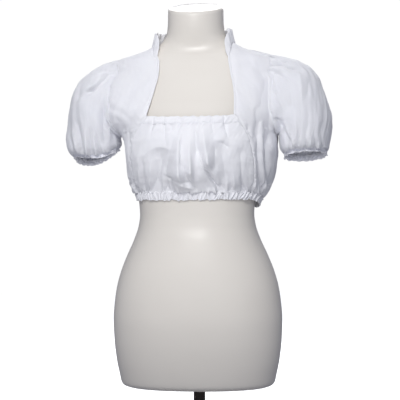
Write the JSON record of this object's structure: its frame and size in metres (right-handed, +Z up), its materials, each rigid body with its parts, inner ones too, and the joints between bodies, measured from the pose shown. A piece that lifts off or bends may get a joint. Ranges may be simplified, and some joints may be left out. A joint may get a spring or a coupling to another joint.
{
  "type": "dirndl blouse on a limbless dress form",
  "caption": "Cropped white dirndl blouse with puff sleeves, square neckline and stand collar, on a limbless dress form with a pole and base.",
  "frame": {"origin": "middle of the base plate's underside", "axes": "+Z up, -Y towards the front of the blouse, +X towards the wearer's left"},
  "size_m": [0.5447, 0.2934, 0.9023],
  "materials": {
    "white_cotton": "crisp plain-woven cotton, matt with a soft sheen",
    "form_shell": "off-white lacquered fibreglass, smooth, half gloss",
    "base_steel": "pale powder-coated steel",
    "pole_steel": "dark blackened steel tube"
  },
  "bodies": {
    "root": {"base_plate": "base_steel", "pole": "pole_steel", "dress_form": "form_shell", "front_middle": "white_cotton", "front_casing": "white_cotton", "front_side_left": "white_cotton", "front_side_right": "white_cotton", "back": "white_cotton", "sleeve_left": "white_cotton", "sleeve_right": "white_cotton", "cuff_left": "white_cotton", "cuff_right": "white_cotton", "hem_casing": "white_cotton", "collar": "white_cotton"}
  },
  "joints": []
}
